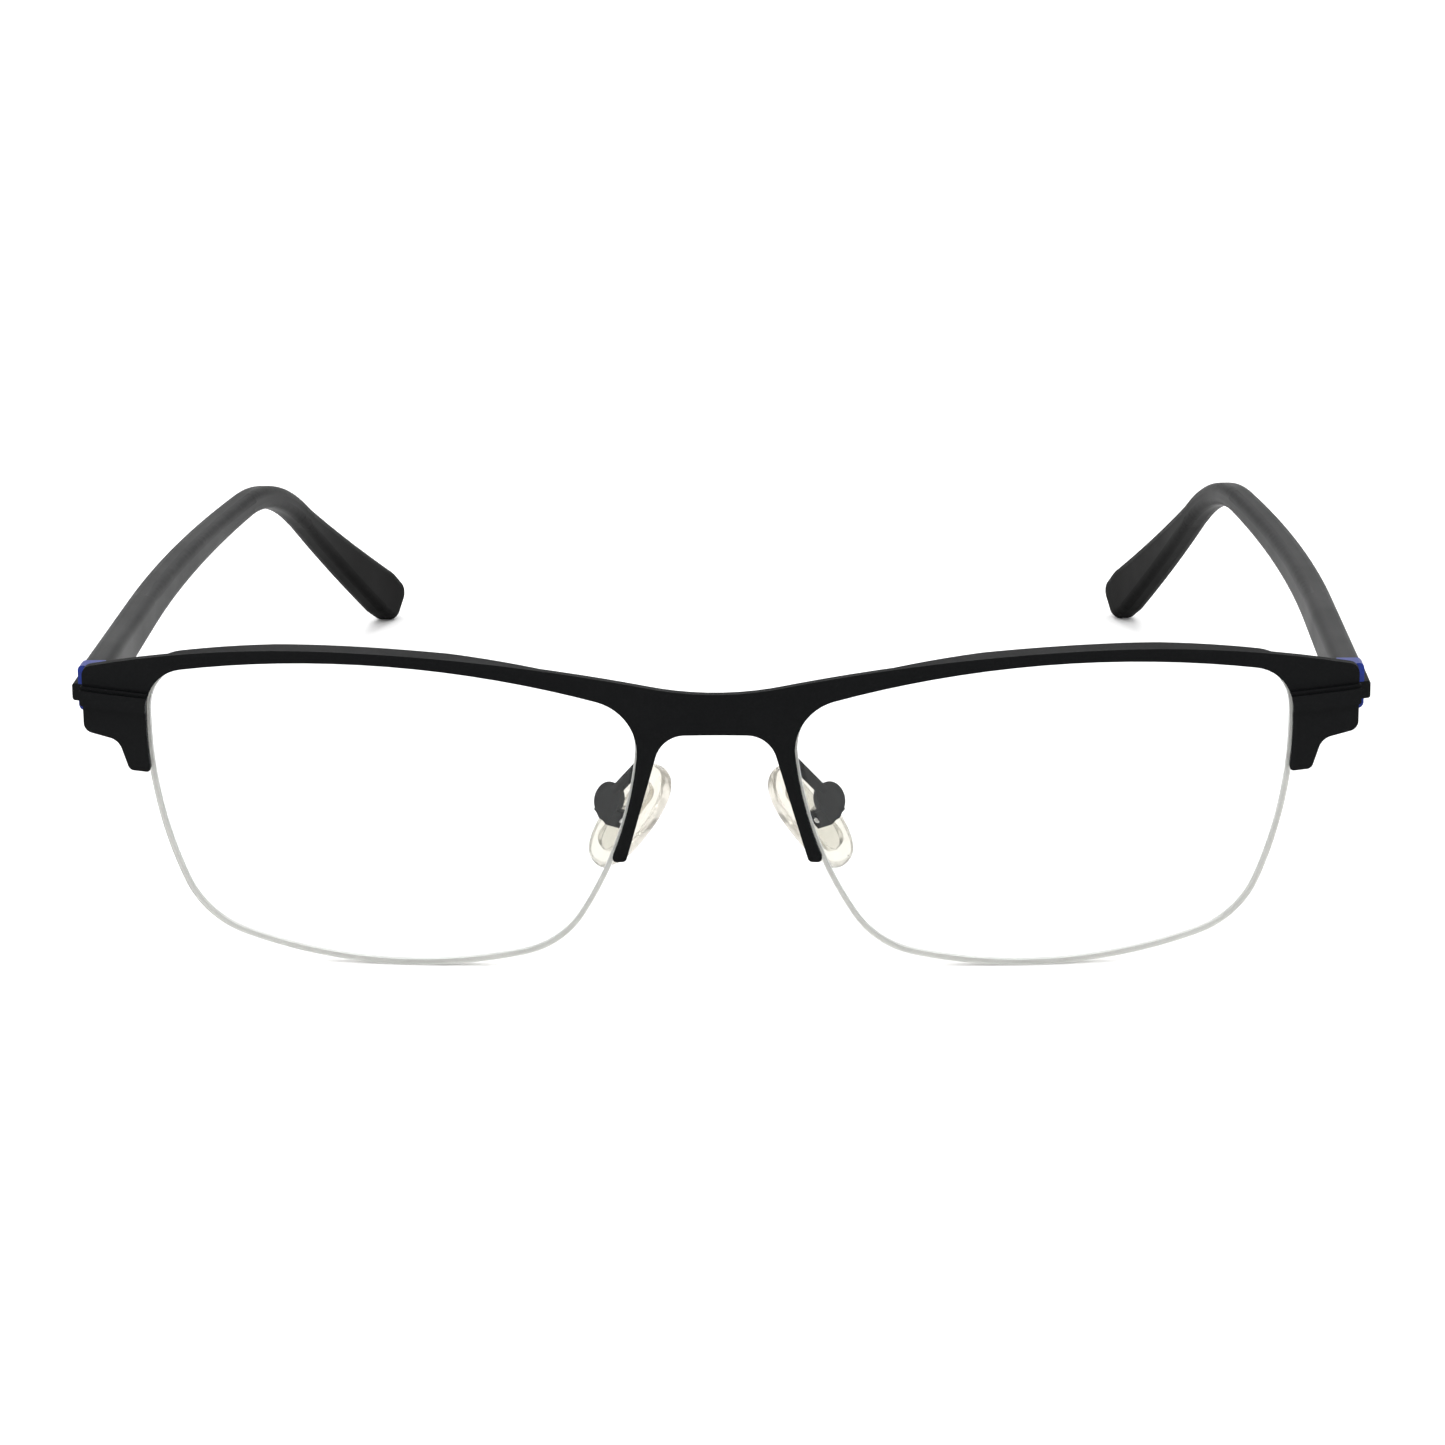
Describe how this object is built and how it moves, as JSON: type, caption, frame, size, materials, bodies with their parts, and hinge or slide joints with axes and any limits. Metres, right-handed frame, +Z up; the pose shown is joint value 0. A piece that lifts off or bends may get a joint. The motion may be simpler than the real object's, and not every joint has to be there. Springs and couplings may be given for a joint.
{
  "type": "half rim eyeglasses",
  "caption": "Half rim eyeglasses with a flat black sheet front, clear lenses held below by a clear cord, folding temples with blue metal ends, and soft nose pads.",
  "frame": {"origin": "middle of the outer box, on the surface that the open glasses stand on", "axes": "+X to the right as seen from the front, +Y back along the temples, +Z up"},
  "size_m": [0.1412, 0.1418, 0.0363],
  "materials": {
    "sheet": "matte black coating",
    "rim": "matte black coating",
    "bar": "matte black coating",
    "blue_end": "satin blue coating",
    "hinge": "satin black coating",
    "pad_arm": "satin dark grey coating",
    "screw": "turned",
    "lens": "clear polished",
    "liner": "clear nylon",
    "cord": "clear nylon",
    "pad": "clear soft silicone",
    "insert": "clear stiff plastic",
    "arm": "fine matte black"
  },
  "bodies": {
    "front": {"front_plate": "sheet", "rim_channel_left": "rim", "rim_channel_right": "rim", "rim_liner_left": "liner", "rim_liner_right": "liner", "lens_left": "lens", "lens_right": "lens", "nylon_cord_left": "cord", "nylon_cord_right": "cord", "endpiece_bar_left": "bar", "endpiece_bar_right": "bar", "hinge_front_left": "hinge", "hinge_front_right": "hinge", "hinge_screw_left": "screw", "hinge_screw_right": "screw", "pad_arm_left": "pad_arm", "pad_arm_right": "pad_arm", "pad_screw_left": "screw", "pad_screw_right": "screw"},
    "temple_left": {"temple_end_left": "blue_end", "temple_bar_left": "bar", "temple_arm_left": "arm"},
    "pad_left": {"nose_pad_left": "pad", "pad_insert_left": "insert"},
    "temple_right": {"temple_end_right": "blue_end", "temple_bar_right": "bar", "temple_arm_right": "arm"},
    "pad_right": {"nose_pad_right": "pad", "pad_insert_right": "insert"}
  },
  "joints": [
    {"name": "temple_left_fold", "type": "hinge", "parent": "front", "child": "temple_left", "pos_m": [-0.0655, -0.06137, 0.03007], "axis": [0, 0.0454, -0.999], "range_deg": [0, 84]},
    {"name": "temple_right_fold", "type": "hinge", "parent": "front", "child": "temple_right", "pos_m": [0.0655, -0.06137, 0.03007], "axis": [0, -0.0454, 0.999], "range_deg": [0, 77]},
    {"name": "pad_left_rock", "type": "hinge", "parent": "front", "child": "pad_left", "pos_m": [-0.0114, -0.06125, 0.01556], "axis": [-0.52, 0.7481, 0.4122], "range_deg": [-8, 8]},
    {"name": "pad_right_rock", "type": "hinge", "parent": "front", "child": "pad_right", "pos_m": [0.0114, -0.06125, 0.01556], "axis": [0.52, 0.7481, 0.4122], "range_deg": [-8, 8]}
  ]
}
